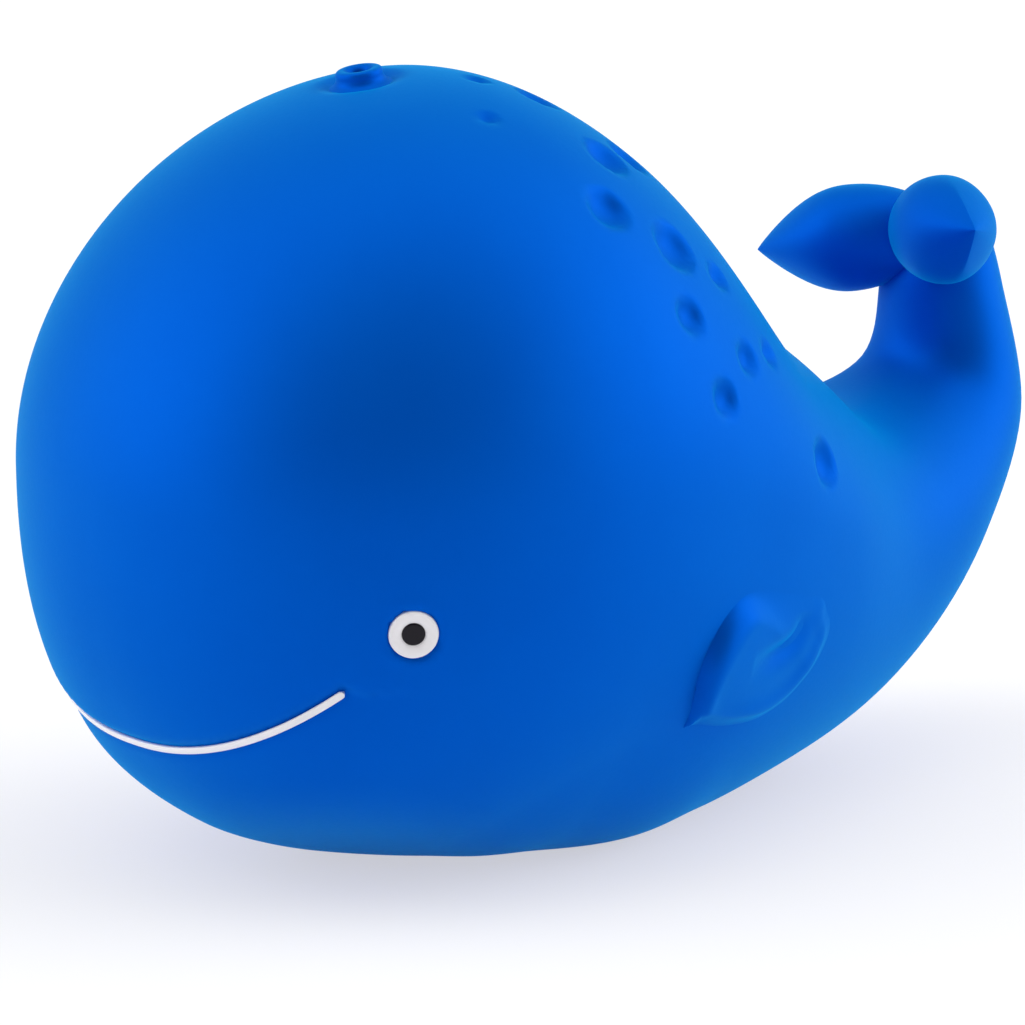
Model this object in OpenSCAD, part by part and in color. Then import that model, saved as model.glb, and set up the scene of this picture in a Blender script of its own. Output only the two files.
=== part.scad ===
// Squeaky rubber whale for the bath: one hollow moulded skin, painted eyes and mouth, and a
// squeaker that snaps into a hole in the underside.
// The whale faces -Y, +X is its left side and +Z is up. The origin lies on the surface that it
// stands on, under the middle of its length. Lengths are millimetres and angles degrees.

/* [Body] */
// Width across the cheeks
body_w = 78; // [70:1:90]
// Height of the crown above the base
body_h = 82.5; // [76:0.5:92]
// Length of the head in front of its widest section
nose_len = 42.5; // [38:0.5:47]
// Distance from the widest section back to the middle of the tail stalk
tail_reach = 79; // [73:1:88]
// Thickness of the rubber wall
wall = 3; // [2.2:0.1:4]
// Thickness of the rubber around the squeaker's hole
base_wall = 5; // [4:0.1:7]

/* [Tail flukes] */
// Sideways reach of a fluke from the middle of the stalk
fluke_span = 18.8; // [14:0.1:22]
// How far a fluke's tip lies in front of its root
fluke_sweep = 8.6; // [4:0.1:10]
// How far a fluke's tip lies below its root
fluke_droop = 0.4; // [0:0.1:5]
// Height of a fluke where it is fullest
fluke_h = 11.8; // [9:0.1:14]
// Thickness of a fluke where it is fullest
fluke_t = 10.8; // [8:0.1:14]
// Roll of the two flukes about the stalk, which lifts the left one
fluke_roll = 10; // [0:0.5:15]

/* [Flippers] */
// Length of a flipper
flipper_len = 20.5; // [16:0.5:24]
// Width of a flipper
flipper_w = 16.4; // [12:0.2:18]
// How far a flipper stands out of the flank
flipper_t = 2.2; // [1:0.1:3]
// Upward slant of a flipper towards the tail
flipper_turn = 32; // [15:1:45]

/* [Blowhole] */
// Diameter of the nub where it leaves the crown
nub_d = 6.2; // [5:0.1:8]
// Diameter of the nub's rim
nub_rim_d = 3.2; // [2.6:0.1:4]
// Height of the nub
nub_h = 1.8; // [1:0.1:3]
// Diameter of the blowhole
blowhole_d = 1.8; // [1:0.1:2.4]

/* [Eyes] */
// Diameter of the white of an eye
eye_d = 5.2; // [4:0.1:7]
// Thickness of the white layer
eye_t = 0.5; // [0.3:0.05:0.8]
// Depth of the white's face below the skin
eye_sink = 0.4; // [0.3:0.05:0.7]
// Diameter of a pupil
pupil_d = 2.45; // [1.8:0.05:3.2]
// Thickness of the pupil layer
pupil_t = 0.2; // [0.1:0.05:0.3]
// Diameter of the dish around an eye
dish_d = 7.6; // [7.4:0.1:9]
// Depth of the dish around an eye
dish_depth = 0.55; // [0.3:0.05:0.8]
// Sideways turn of an eye from straight ahead
eye_turn = 51; // [45:0.5:60]

/* [Mouth] */
// Width of the painted mouth line
mouth_w = 0.8; // [0.5:0.05:1.4]
// Depth of the paint in the groove
mouth_depth = 0.5; // [0.3:0.05:0.8]
// Height of the mouth's ends above its middle
mouth_end_h = 9; // [6:0.1:12]
// Sideways turn of the mouth's ends from straight ahead
mouth_turn = 41; // [34:0.5:50]

/* [Squeaker] */
// Inside diameter of the squeaker cup
cup_bore_d = 11.2; // [10:0.1:13]
// Wall of the squeaker cup
cup_wall = 1.2; // [0.9:0.1:1.6]
// Height of the cup above the inside of the base
cup_h = 9; // [8:0.1:12]
// Width of the cup's outer flange
flange_w = 2.2; // [1.6:0.1:2.6]
// Thickness of the cup's flange and floor
flange_t = 1.2; // [0.8:0.1:1.6]
// Width of the lip that holds the cup from inside
lip_w = 0.8; // [0.5:0.1:1.2]
// Thickness of that lip
lip_t = 1; // [0.6:0.1:1.5]
// Depth of the recess that the flange sits in
recess_depth = 2.2; // [2:0.1:2.8]
// Free width around the flange, taken up when the toy is squeezed
recess_gap = 2.4; // [2:0.1:3]
// Diameter of the air hole in the cup's floor
air_hole_d = 3; // [2:0.1:3.2]
// Thickness of the perforated cap
cap_t = 1.2; // [0.8:0.1:1.6]
// Width of the ledge that the cap sits on
cap_ledge = 0.5; // [0.3:0.05:0.6]
// Diameter of a vent in the cap
vent_d = 1.4; // [0.8:0.1:1.8]
// Number of vents in the cap
vent_count = 6; // [4:1:8]

/* [Reed] */
// Height of the reed block
block_h = 4.2; // [3:0.1:5]
// Length of the reed from its root to its tip
reed_len = 6.2; // [5:0.1:7]
// Width of the reed
reed_w = 3; // [2:0.1:3.4]
// Thickness of the reed
reed_t = 0.25; // [0.15:0.01:0.35]
// Diameter of the bead at the reed's root
bead_d = 1.1; // [0.9:0.05:1.3]
// How far the bead reaches past the reed on each side
bead_side_len = 0.8; // [0.6:0.05:1]
// Length of the wedge along the reed
wedge_len = 2.4; // [1.8:0.1:2.8]

/* [Hidden] */

// Colours of the rubber, the paints and the squeaker's plastics
skin_blue = "#0a5fd0";
paint_white = "#f4f0f4";
paint_black = "#17121f";
cup_white = "#e9e6df";
block_grey = "#c9c6c0";
reed_amber = "#d9b36a";

// Room between a paint layer and the rubber around it
paint_gap = 0.05;
// Radial room between the cup and its hole, the cap and its ledge, the block and the cup
press_gap = 0.05;
// Radial room between the reed's bead and its groove
bead_gap = 0.05;
// Room beside the reed and past its tip
reed_gap = 0.2;
// Room above the reed under the wedge
lift_gap = 0.15;
// Overrun of every cut
over = 1;
// Step for reading the slope of a surface
probe = 0.01;

// Facets of the lofted shapes
nose_rings = 12;
body_rings = 38;
stalk_rings = 3;
skin_sides = 40;
hollow_rings = 22;
hollow_sides = 28;
leaf_rings = 12;
leaf_sides = 16;
mouth_rings = 44;
nub_steps = 6;
small_round = 32;

// Sections from the head to the tail: place along tail_reach, height, tilt in degrees, half
// width, rise above, drop below and power of the lower half's curve
station_shares = [
    [0, 0.504, 0, 1, 0.496, 0.519, 2.3],
    [0.228, 0.467, 0, 0.94, 0.451, 0.498, 2.3],
    [0.443, 0.386, 2, 0.813, 0.315, 0.388, 2.13],
    [0.655, 0.331, 14, 0.614, 0.271, 0.271, 2.1],
    [0.845, 0.375, 45, 0.453, 0.172, 0.172, 2],
    [1.001, 0.482, 68, 0.272, 0.111, 0.111, 2],
    [1.001, 0.638, 85, 0.187, 0.081, 0.081, 2],
    [1.001, 0.731, 95, 0.158, 0.053, 0.053, 2]];
// Powers of the head's outline: over the crown, round the sides and under the jowl
crown_power = 1.91;
side_power = 2.12;
jowl_power = 2.55;
// Where the hollow ends, as a station number
hollow_end = 5;
// Fluke root along tail_reach and body_h, where the leaf is fullest and how full it starts
fluke_root_shares = [0.956, 0.707];
fluke_full_share = 0.43;
fluke_start_share = 0.15;
// Powers of a fluke's section at its pointed end and of its outline towards that end
fluke_tip_power = 1.35;
fluke_taper_power = 0.9;
// Flipper's middle along tail_reach and body_h, and where the leaf is fullest
flipper_shares = [0.214, 0.272];
flipper_full_share = 0.56;
// Power of a flipper's outline towards its pointed end, and share of its thickness at the other end
flipper_tip_power = 0.8;
flipper_root_share = 0.4;
// Blowhole in front of the widest section, as a share of nose_len
nub_share = 0.167;
// Heights of the eyes and of the mouth's middle, as shares of body_h
eye_share = 0.379;
mouth_share = 0.194;
// Power of the mouth's rise, share of the line that its rounded ends take and share of the
// width that is left at its very end
mouth_power = 2.3;
mouth_end_share = 0.015;
mouth_tip_share = 0.12;
// Squeaker's place along tail_reach
squeaker_share = 0.127;
// Circle of vents as a share of the cap's radius
vent_share = 0.6;

stations = [for (s = station_shares)
    [s[0] * tail_reach, s[1] * body_h, s[2], s[3] * body_w / 2, s[4] * body_h, s[5] * body_h, s[6]]];
head = stations[0];
tail = stations[len(stations) - 1];
// The row before the first one mirrors the second, so the head joins the body without a crease
spline_rows = concat([[for (i = [0:6]) (i == 0 ? -1 : 1) * stations[1][i]]],
    stations, [2 * tail - stations[len(stations) - 2]]);

function station_at(s) =
    let (i = min(floor(s), len(stations) - 2), t = s - i,
        a = spline_rows[i], b = spline_rows[i + 1], c = spline_rows[i + 2], d = spline_rows[i + 3])
    (2 * b + (c - a) * t + (2 * a - 5 * b + 4 * c - d) * t * t + (3 * b - a - 3 * c + d) * t * t * t) / 2;

// Share of the full section at the cosine c along the nose, for one power
function nose_cap(c, power) = pow(max(0, 1 - pow(c, power)), 1 / power);

function signed_pow(v, power) = sign(v) * pow(abs(v), power);

// Section rows of the nose, the body and the round end of the stalk, thinned by the wall t
function nose_row(a, t) =
    let (c = cos(a))
    [-(nose_len - t) * c, head[1], 0, (head[3] - t) * nose_cap(c, side_power),
        (head[4] - t) * nose_cap(c, crown_power), (head[5] - t) * nose_cap(c, jowl_power), head[6]];
function body_row(s, t) = station_at(s) - [0, 0, 0, t, t, t, 0];
function stalk_row(a) =
    [tail[0] + cos(tail[2]) * tail[4] * sin(a), tail[1] + sin(tail[2]) * tail[4] * sin(a), tail[2],
        tail[3] * cos(a), tail[4] * cos(a), tail[5] * cos(a), tail[6]];

// Points of one section: an ellipse above and a fuller curve below
function section(row, sides) = [for (j = [0:sides - 1])
    let (a = 360 * j / sides, above = sin(a) >= 0, power = above ? 2 : row[6],
        x = row[3] * signed_pow(cos(a), 2 / power),
        h = (above ? row[4] : row[5]) * signed_pow(sin(a), 2 / power))
    [x, row[0] - sin(row[2]) * h, row[1] + cos(row[2]) * h]];

last_station = len(stations) - 1;
outer_rows = concat(
    [for (i = [1:nose_rings - 1]) nose_row(90 * i / nose_rings, 0)],
    [for (i = [0:body_rings]) body_row(last_station * i / body_rings, 0)],
    [for (i = [1:stalk_rings - 1]) stalk_row(90 * i / stalk_rings)]);
outer_rings = [for (r = outer_rows) section(r, skin_sides)];
nose_tip = [0, -nose_len, head[1]];
tail_tip = [0, stalk_row(90)[0], stalk_row(90)[1]];

hollow_rows = concat(
    [for (i = [1:nose_rings - 1]) nose_row(90 * i / nose_rings, wall)],
    [for (i = [0:hollow_rings]) body_row(hollow_end * i / hollow_rings, wall)]);
hollow_rings_at = [for (r = hollow_rows) section(r, hollow_sides)];
hollow_nose = nose_tip + [0, wall, 0];
hollow_tail = [0, body_row(hollow_end, wall)[0], body_row(hollow_end, wall)[1]];

// The middle of the whole length, which the origin lies under
tail_back = max([for (ring = outer_rings) for (p = ring) p[1]]);
mid_y = (tail_back - nose_len) / 2;

// Level of the head's surface: under 1 inside it, 1 on it
function head_level(p) =
    let (c = abs(p[1]) / nose_len, below = p[2] < head[1], power = below ? head[6] : 2,
        h = below ? head[5] * nose_cap(c, jowl_power) : head[4] * nose_cap(c, crown_power))
    c >= 1 ? 2 : pow(abs(p[0]) / (head[3] * nose_cap(c, side_power)), power)
        + pow(abs(p[2] - head[1]) / h, power);
function on_turn(turn, reach, z) = [reach * sin(turn), -reach * cos(turn), z];
// Distance from the head's axis to its surface, by halving the interval that holds it
function head_reach(turn, z, low, high, halvings) =
    let (middle = (low + high) / 2)
    halvings == 0 ? middle
        : head_level(on_turn(turn, middle, z)) > 1 ? head_reach(turn, z, low, middle, halvings - 1)
        : head_reach(turn, z, middle, high, halvings - 1);
function head_point(turn, z) = on_turn(turn, head_reach(turn, z, 0, nose_len + body_w, 30), z);
function unit(v) = v / norm(v);
function head_normal(p) = unit([for (e = [[probe, 0, 0], [0, probe, 0], [0, 0, probe]])
    head_level(p + e) - head_level(p - e)]);

// Station number at a distance behind the widest section, by halving
function station_of(y, low, high, halvings) =
    let (middle = (low + high) / 2)
    halvings == 0 ? middle
        : station_at(middle)[0] > y ? station_of(y, low, middle, halvings - 1)
        : station_of(y, middle, high, halvings - 1);
// Point on the left flank at a distance behind the widest section and a height
function flank_point(y, z) =
    let (row = station_at(station_of(y, 0, 3, 24)), above = z > row[1], power = above ? 2 : row[6],
        share = abs(z - row[1]) / (above ? row[4] : row[5]))
    [row[3] * pow(max(0, 1 - pow(share, power)), 1 / power), y, z];

// Mouth line: places, outward directions and runs along the head
function mouth_place(t) =
    head_point(t * mouth_turn, mouth_share * body_h + mouth_end_h * pow(abs(t), mouth_power));
function mouth_width(t) =
    let (past = max(0, (abs(t) - 1 + mouth_end_share) / mouth_end_share))
    sqrt(max(0, 1 - past * past));
function mouth_ring(t, half_w, above, below) =
    let (p = mouth_place(t), out = head_normal(p), step = 1 / mouth_rings,
        run = unit(mouth_place(t + step) - mouth_place(t - step)), across = cross(run, out),
        w = half_w * max(mouth_width(t), mouth_tip_share))
    [p + w * across - below * out, p + w * across + above * out,
        p - w * across + above * out, p - w * across - below * out];
// More rings stand close to the ends, where the line rounds off
mouth_turns = [for (i = [0:mouth_rings]) sin(90 * (2 * i / mouth_rings - 1))];

// One leaf of the tail, from the stalk's middle to its pointed tip
fluke_root = [0, fluke_root_shares[0] * tail_reach, fluke_root_shares[1] * body_h];
fluke_run = [fluke_span, -fluke_sweep, -fluke_droop];
function fluke_fullness(s) = s < fluke_full_share
    ? sqrt(sin(90 * (s + fluke_start_share) / (fluke_full_share + fluke_start_share)))
    : pow(cos(90 * (s - fluke_full_share) / (1 - fluke_full_share)), fluke_taper_power);
function fluke_ring(s) =
    let (axis = unit(fluke_run), up = unit([0, 0, 1] - axis * axis[2]), right = cross(axis, up),
        power = 2 + (fluke_tip_power - 2) * s * s, full = fluke_fullness(s))
    [for (j = [0:leaf_sides - 1]) let (a = 360 * j / leaf_sides)
        fluke_root + s * fluke_run + full * fluke_h / 2 * signed_pow(sin(a), 2 / power) * up
            + full * fluke_t / 2 * signed_pow(cos(a), 2 / power) * right];

// One flipper: a leaf that follows the flank, half of its thickness buried in it
flipper_mid = [flipper_shares[0] * tail_reach, flipper_shares[1] * body_h];
flipper_out = unit(cross(
    flank_point(flipper_mid[0] + probe, flipper_mid[1])
        - flank_point(flipper_mid[0] - probe, flipper_mid[1]),
    flank_point(flipper_mid[0], flipper_mid[1] + probe)
        - flank_point(flipper_mid[0], flipper_mid[1] - probe)));
// Point of the flank at a distance along the flipper and one across it from its middle
function flipper_at(along, across) = flank_point(
    flipper_mid[0] + along * cos(flipper_turn) - across * sin(flipper_turn),
    flipper_mid[1] + along * sin(flipper_turn) + across * cos(flipper_turn));
function flipper_fullness(s) = s < flipper_full_share
    ? pow(sin(90 * s / flipper_full_share), flipper_tip_power)
    : sqrt(1 - pow((s - flipper_full_share) / (1 - flipper_full_share), 2));
function flipper_ring(s) =
    let (full = flipper_fullness(s), t = flipper_t * (1 + (flipper_root_share - 1) * s))
    [for (j = [0:leaf_sides - 1]) let (a = 360 * j / leaf_sides)
        flipper_at((s - 1 / 2) * flipper_len, -full * flipper_w / 2 * cos(a))
            + sqrt(full) * t * sin(a) * flipper_out];

// Nub of the blowhole: place on the crown and lean of the crown there
nub_y = -nub_share * nose_len;
function crown_z(y) = head[1] + head[4] * nose_cap(abs(y) / nose_len, crown_power);
nub_lean = atan((crown_z(nub_y + probe) - crown_z(nub_y - probe)) / (2 * probe));
nub_outline = concat([[0, -wall / 2], [nub_d / 2, -wall / 2]],
    [for (i = [0:nub_steps]) let (t = i / nub_steps)
        [nub_d / 2 - (nub_d - nub_rim_d) / 2 * (1 - cos(180 * t)) / 2, nub_h * t]],
    [[0, nub_h]]);

// Eyes
eye_place = head_point(eye_turn, eye_share * body_h);
eye_out = head_normal(eye_place);
dish_r = (pow(dish_d / 2, 2) + pow(dish_depth, 2)) / (2 * dish_depth);

// Squeaker: heights above the base and radii, from the hole in the rubber inwards
squeaker_y = squeaker_share * tail_reach;
cup_r = cup_bore_d / 2 + cup_wall;
cup_bottom = recess_depth - flange_t;
cup_top = base_wall + cup_h;
block_top = recess_depth + block_h;
cap_bottom = cup_top - cap_t;
cap_r = cup_bore_d / 2 + cap_ledge;
reed_root = -reed_len / 2;
bead_len = reed_w + 2 * bead_side_len;
slot_w = reed_w + 2 * reed_gap;
groove_r = bead_d / 2 + bead_gap;
groove_len = bead_len + 2 * reed_gap;
wedge_back = reed_root - wedge_len / 2;
wedge_w = 2 * (sqrt(pow(cup_bore_d / 2, 2) - pow(wedge_back, 2)) - press_gap);

module in_frame() {
    translate([0, -mid_y, 0]) children();
}

module at_squeaker() {
    in_frame() translate([0, squeaker_y, 0]) children();
}

// Places its children at the left eye, +Z out of the head; side -1 is the right eye
module at_eye(side) {
    in_frame()
        mirror([side < 0 ? 1 : 0, 0, 0])
            translate(eye_place)
                rotate([0, acos(eye_out[2]), atan2(eye_out[1], eye_out[0])])
                    children();
}

// Closed skin over rings of points, with a tip before the first ring and after the last
module loft(rings, first_tip, last_tip) {
    sides = len(rings[0]);
    end = (len(rings) - 1) * sides;
    count = len(rings) * sides;
    walls = [for (i = [0:len(rings) - 2]) for (j = [0:sides - 1])
        let (a = i * sides + j, b = i * sides + (j + 1) % sides)
        each [[a, b, b + sides], [a, b + sides, a + sides]]];
    front = [for (j = [0:sides - 1]) [count, (j + 1) % sides, j]];
    back = [for (j = [0:sides - 1]) [count + 1, end + j, end + (j + 1) % sides]];
    polyhedron(concat([for (r = rings) each r], [first_tip, last_tip]), concat(front, walls, back));
}

module both_sides() {
    children();
    mirror([1, 0, 0]) children();
}

module fluke() {
    rings = [for (i = [0:leaf_rings - 1]) fluke_ring(i / leaf_rings)];
    loft(rings, fluke_root, fluke_root + fluke_run);
}

module flukes() {
    translate(fluke_root) rotate([0, -fluke_roll, 0]) translate(-fluke_root) both_sides() fluke();
}

module flipper() {
    rings = [for (i = [1:leaf_rings - 1]) flipper_ring(i / leaf_rings)];
    loft(rings, flipper_at(-flipper_len / 2, 0), flipper_at(flipper_len / 2, 0));
}

module nub() {
    translate([0, nub_y, crown_z(nub_y)])
        rotate([nub_lean, 0, 0])
            rotate_extrude($fn = small_round) polygon(nub_outline);
}

// A strip along the mouth, from below the skin to above it
module mouth_strip(half_w, above, below) {
    rings = [for (t = mouth_turns) mouth_ring(t, half_w, above, below)];
    depth = (above - below) / 2;
    loft(rings, mouth_place(-1) + depth * head_normal(mouth_place(-1)),
        mouth_place(1) + depth * head_normal(mouth_place(1)));
}

// The outside of the moulding as one skin; a size of zero leaves each length as it is
module moulding() {
    resize([0, 0, 0]) difference() {
        union() {
            loft(outer_rings, nose_tip, tail_tip);
            flukes();
            both_sides() flipper();
            nub();
        }
        mouth_strip(mouth_w / 2 + paint_gap, over, mouth_depth + paint_gap);
    }
}

// The air chamber, flat over the base
module hollow() {
    difference() {
        loft(hollow_rings_at, hollow_nose, hollow_tail);
        translate([-body_w / 2, -nose_len, -body_h])
            cube([body_w, nose_len + tail_back, body_h + base_wall]);
    }
}

module eye_seat() {
    translate([0, 0, dish_r - dish_depth]) sphere(r = dish_r);
    translate([0, 0, -eye_sink - eye_t - paint_gap])
        cylinder(r = eye_d / 2 + paint_gap, h = eye_sink + eye_t + paint_gap + over);
}

module body_skin() {
    color(skin_blue) difference() {
        in_frame() moulding();
        in_frame() hollow();
        translate([-body_w, -nose_len - tail_back, -body_h])
            cube([2 * body_w, 2 * (nose_len + tail_back), body_h]);
        at_squeaker() translate([0, 0, -over])
            cylinder(r = cup_r + flange_w + recess_gap, h = recess_depth + over);
        at_squeaker() cylinder(r = cup_r + press_gap, h = base_wall + over);
        in_frame() translate([0, nub_y, crown_z(nub_y)]) rotate([nub_lean, 0, 0])
            translate([0, 0, -2 * wall]) cylinder(d = blowhole_d, h = 2 * wall + nub_h + over);
        for (side = [1, -1]) at_eye(side) eye_seat();
    }
}

module eye_white(side) {
    color(paint_white) at_eye(side) translate([0, 0, -eye_sink - eye_t]) cylinder(d = eye_d, h = eye_t);
}

module pupil(side) {
    color(paint_black) at_eye(side) translate([0, 0, -eye_sink]) cylinder(d = pupil_d, h = pupil_t);
}

module mouth_line() {
    color(paint_white) in_frame() mouth_strip(mouth_w / 2, 0, mouth_depth);
}

// Cup with its flange below the rubber, its lip above it and a ledge for the cap
module squeaker_cup() {
    color(cup_white) at_squeaker() difference() {
        union() {
            translate([0, 0, cup_bottom]) cylinder(r = cup_r + flange_w, h = flange_t);
            translate([0, 0, cup_bottom]) cylinder(r = cup_r, h = cup_top - cup_bottom);
            translate([0, 0, base_wall]) cylinder(r = cup_r + lip_w, h = lip_t);
        }
        translate([0, 0, recess_depth]) cylinder(d = cup_bore_d, h = cup_top);
        translate([0, 0, cap_bottom]) cylinder(r = cap_r + press_gap, h = cap_t + over);
        cylinder(d = air_hole_d, h = cup_top);
    }
}

module squeaker_cap() {
    color(cup_white) at_squeaker() translate([0, 0, cap_bottom]) difference() {
        cylinder(r = cap_r, h = cap_t);
        for (i = [0:vent_count - 1]) rotate([0, 0, 360 * i / vent_count])
            translate([vent_share * cap_r, 0, -over]) cylinder(d = vent_d, h = cap_t + 2 * over);
    }
}

// Round groove that holds the bead, half in the block and half in the wedge
module bead_groove() {
    translate([-groove_len / 2, reed_root, block_top])
        rotate([0, 90, 0])
            cylinder(r = groove_r, h = groove_len);
}

module reed_block() {
    color(block_grey) at_squeaker() difference() {
        translate([0, 0, recess_depth]) cylinder(d = cup_bore_d - 2 * press_gap, h = block_h);
        translate([-slot_w / 2, reed_root, recess_depth - over])
            cube([slot_w, reed_len + reed_gap, block_h + 2 * over]);
        bead_groove();
    }
}

module reed() {
    color(reed_amber) at_squeaker() union() {
        translate([-bead_len / 2, reed_root, block_top])
            rotate([0, 90, 0])
                cylinder(d = bead_d, h = bead_len);
        translate([-reed_w / 2, reed_root, block_top - reed_t / 2]) cube([reed_w, reed_len, reed_t]);
    }
}

module reed_wedge() {
    color(block_grey) at_squeaker() difference() {
        translate([-wedge_w / 2, wedge_back, block_top]) cube([wedge_w, wedge_len, cap_bottom - block_top]);
        bead_groove();
        translate([-slot_w / 2, reed_root, block_top - over])
            cube([slot_w, wedge_len, over + reed_t / 2 + lift_gap]);
    }
}

body_skin();
eye_white(1);  // left_eye_white
pupil(1);  // left_pupil
eye_white(-1);  // right_eye_white
pupil(-1);  // right_pupil
mouth_line();
squeaker_cup();
squeaker_cap();
reed_block();
reed();
reed_wedge();
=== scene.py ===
"""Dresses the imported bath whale: a moulded rubber skin, painted eyes and mouth, the squeaker and a studio.

Shapes are worked out in whale coordinates, in metres: the whale faces -Y, +X is its left, y = 0 is the widest
section of its head and z = 0 is the surface that it stands on. place() moves them into the frame's.
"""
import math

import bpy
import numpy as np
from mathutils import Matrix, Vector


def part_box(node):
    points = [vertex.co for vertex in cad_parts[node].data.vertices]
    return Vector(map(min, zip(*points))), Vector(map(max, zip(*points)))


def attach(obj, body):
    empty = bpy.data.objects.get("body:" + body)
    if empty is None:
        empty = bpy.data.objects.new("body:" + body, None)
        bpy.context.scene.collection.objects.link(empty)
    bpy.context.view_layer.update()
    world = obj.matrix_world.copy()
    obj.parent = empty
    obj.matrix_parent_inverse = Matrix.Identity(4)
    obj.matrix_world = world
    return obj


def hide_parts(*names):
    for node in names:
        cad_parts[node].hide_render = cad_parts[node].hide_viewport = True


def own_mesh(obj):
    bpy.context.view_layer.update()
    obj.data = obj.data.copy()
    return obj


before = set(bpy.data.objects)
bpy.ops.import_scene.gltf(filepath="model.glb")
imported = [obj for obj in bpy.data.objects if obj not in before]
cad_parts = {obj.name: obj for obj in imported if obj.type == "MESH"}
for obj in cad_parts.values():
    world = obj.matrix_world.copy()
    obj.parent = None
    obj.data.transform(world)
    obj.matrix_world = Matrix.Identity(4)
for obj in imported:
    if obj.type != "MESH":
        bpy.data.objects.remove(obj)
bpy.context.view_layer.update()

bl_info = {
    "name": "Rubber Bath Whale",
    "version": (1, 0, 0),
    "blender": (4, 5, 0),
    "location": "View3D > Sidebar > Whale",
    "description": "Builds the looks of a squeaky rubber whale around its CAD frame",
    "category": "Add Mesh",
}

MM = 0.001
SKIN_LOW, SKIN_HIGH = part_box("body_skin")
CUP_LOW, CUP_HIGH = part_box("squeaker_cup")
SIDES = (("left", 1), ("right", -1))

# Sections from the head to the tail: place along tail_reach, height, tilt in degrees, half width, rise above,
# drop below and power of the lower half's curve; heights are shares of body_height
STATION_SHARES = np.array([
    [0, 0.504, 0, 1, 0.496, 0.513, 2.3],
    [0.228, 0.467, 0, 0.94, 0.451, 0.498, 2.35],
    [0.443, 0.386, 2, 0.813, 0.315, 0.39, 2.2],
    [0.655, 0.331, 14, 0.614, 0.271, 0.271, 2.1],
    [0.845, 0.375, 45, 0.453, 0.172, 0.172, 2],
    [1.001, 0.482, 68, 0.272, 0.111, 0.111, 2],
    [1.001, 0.638, 85, 0.187, 0.081, 0.081, 2],
    [0.998, 0.722, 95, 0.15, 0.05, 0.05, 2],
])
# Powers of the head's outline: over the crown, round the sides and under the jowl
CROWN_POWER, SIDE_POWER, JOWL_POWER = 1.91, 2.12, 2.55

# Dimples down the back: mm behind the widest section, degrees up round the section, diameter in mm
DIMPLES = [
    (2.5, 79, 2.7), (-3, 66, 2.3), (8, 74, 4.8), (8.5, 57, 5.4), (14, 61.5, 5), (3, 45, 5.2), (10.5, 40, 6),
    (16.5, 38, 3.2), (8.5, 28, 4.2), (16.5, 24, 3.7), (21.5, 28, 3), (11, 16, 4), (29, 14, 5.4),
]
# Power of a dimple's curve, which makes its edge steep
DIMPLE_POWER = 2.6

# Soft swells under both sides, all in mm: sideways, behind the widest section, up, reach and height
SWELLS = [(21, 6, 4, 18, 1.4), (14, -20, 3, 17, -1.6)]

# Fluke's root along tail_reach and body_height, where the leaf is fullest, how full it starts, its powers and
# the shares of its length between which it turns from round to a lens
FLUKE_ROOT_SHARES = (0.956, 0.707)
FLUKE_FULL_SHARE = 0.43
FLUKE_START_SHARE = 0.15
FLUKE_TAPER_POWER = 0.9
FLUKE_EDGE_POWER = 2.2
FLUKE_LENS_SHARES = (0.42, 0.92)

# Flipper's tip along tail_reach and body_height, and its outline: place along it, front edge and rear edge
# across it, all as shares of its length
FLIPPER_TIP_SHARES = (0.105, 0.201)
FLIPPER_OUTLINE_SHARES = np.array([
    [0, 0, 0], [0.05, 0.05, -0.035], [0.11, 0.17, -0.115], [0.2, 0.285, -0.215], [0.36, 0.365, -0.355],
    [0.52, 0.37, -0.42], [0.62, 0.325, -0.435], [0.78, 0.175, -0.425], [0.9, 0.02, -0.375],
    [0.96, -0.07, -0.32], [0.99, -0.14, -0.26], [1, -0.19, -0.21],
])
# Fold of the flipper: mm behind the widest section and above the base
FLIPPER_FOLD = [(24.2, 26.7), (24, 25.2), (22.6, 23.8), (20.1, 23.2), (17.3, 23.1), (14.8, 23.1)]
# Widths in mm: the front slope at the tip, what it gains towards the middle and the root, the rear slope, the
# rim, and the fold below and above its line
FRONT_TIP, FRONT_MIDDLE, FRONT_ROOT, REAR_SLOPE, RIM_WIDTH = 1.8, 1.4, 5, 2.2, 1.2
FOLD_BELOW, FOLD_ABOVE = 1.5, 1.1
# Heights in mm: the rim, the fold, and how far the flipper's foot and its hidden back lie in the flank
RIM_HEIGHT, FOLD_DEPTH, FOOT_DEPTH, BACK_DEPTH = 0.8, 1.1, 0.03, 0.8
# Shares of the flipper's length between which the front slope widens, widens again and turns soft, the rim
# starts, the tip rises, the height drops and the root ends; then the fold's ends along its own line
WIDENING_SHARES, OPENING_SHARES, SOFTENING_SHARES = (0.1, 0.4), (0.45, 0.8), (0.3, 0.65)
RIM_SHARES, TIP_SHARES, DROP_SHARES, END_SHARES = (0.15, 0.4), (0, 0.14), (0.2, 0.7), (0.94, 0.995)
FOLD_START_SHARES, FOLD_END_SHARES = (0, 0.25), (0.55, 1)
# Most of the flipper's width that the front and the rear slope take, height left at the rear, the width over
# which it is reached, drop at the root, and power of the front slope
FRONT_SHARE, REAR_SHARE, REAR_HEIGHT_SHARE, REAR_REACH_SHARE, ROOT_DROP_SHARE = 0.7, 0.5, 0.4, 0.9, 0.6
FRONT_POWER = 2.4

# Blowhole along nose_length, eye and mouth along body_height, and the power of the mouth's rise
NUB_SHARE = 0.167
EYE_SHARE = 0.379
MOUTH_SHARE = 0.194
MOUTH_POWER = 2.3

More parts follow.
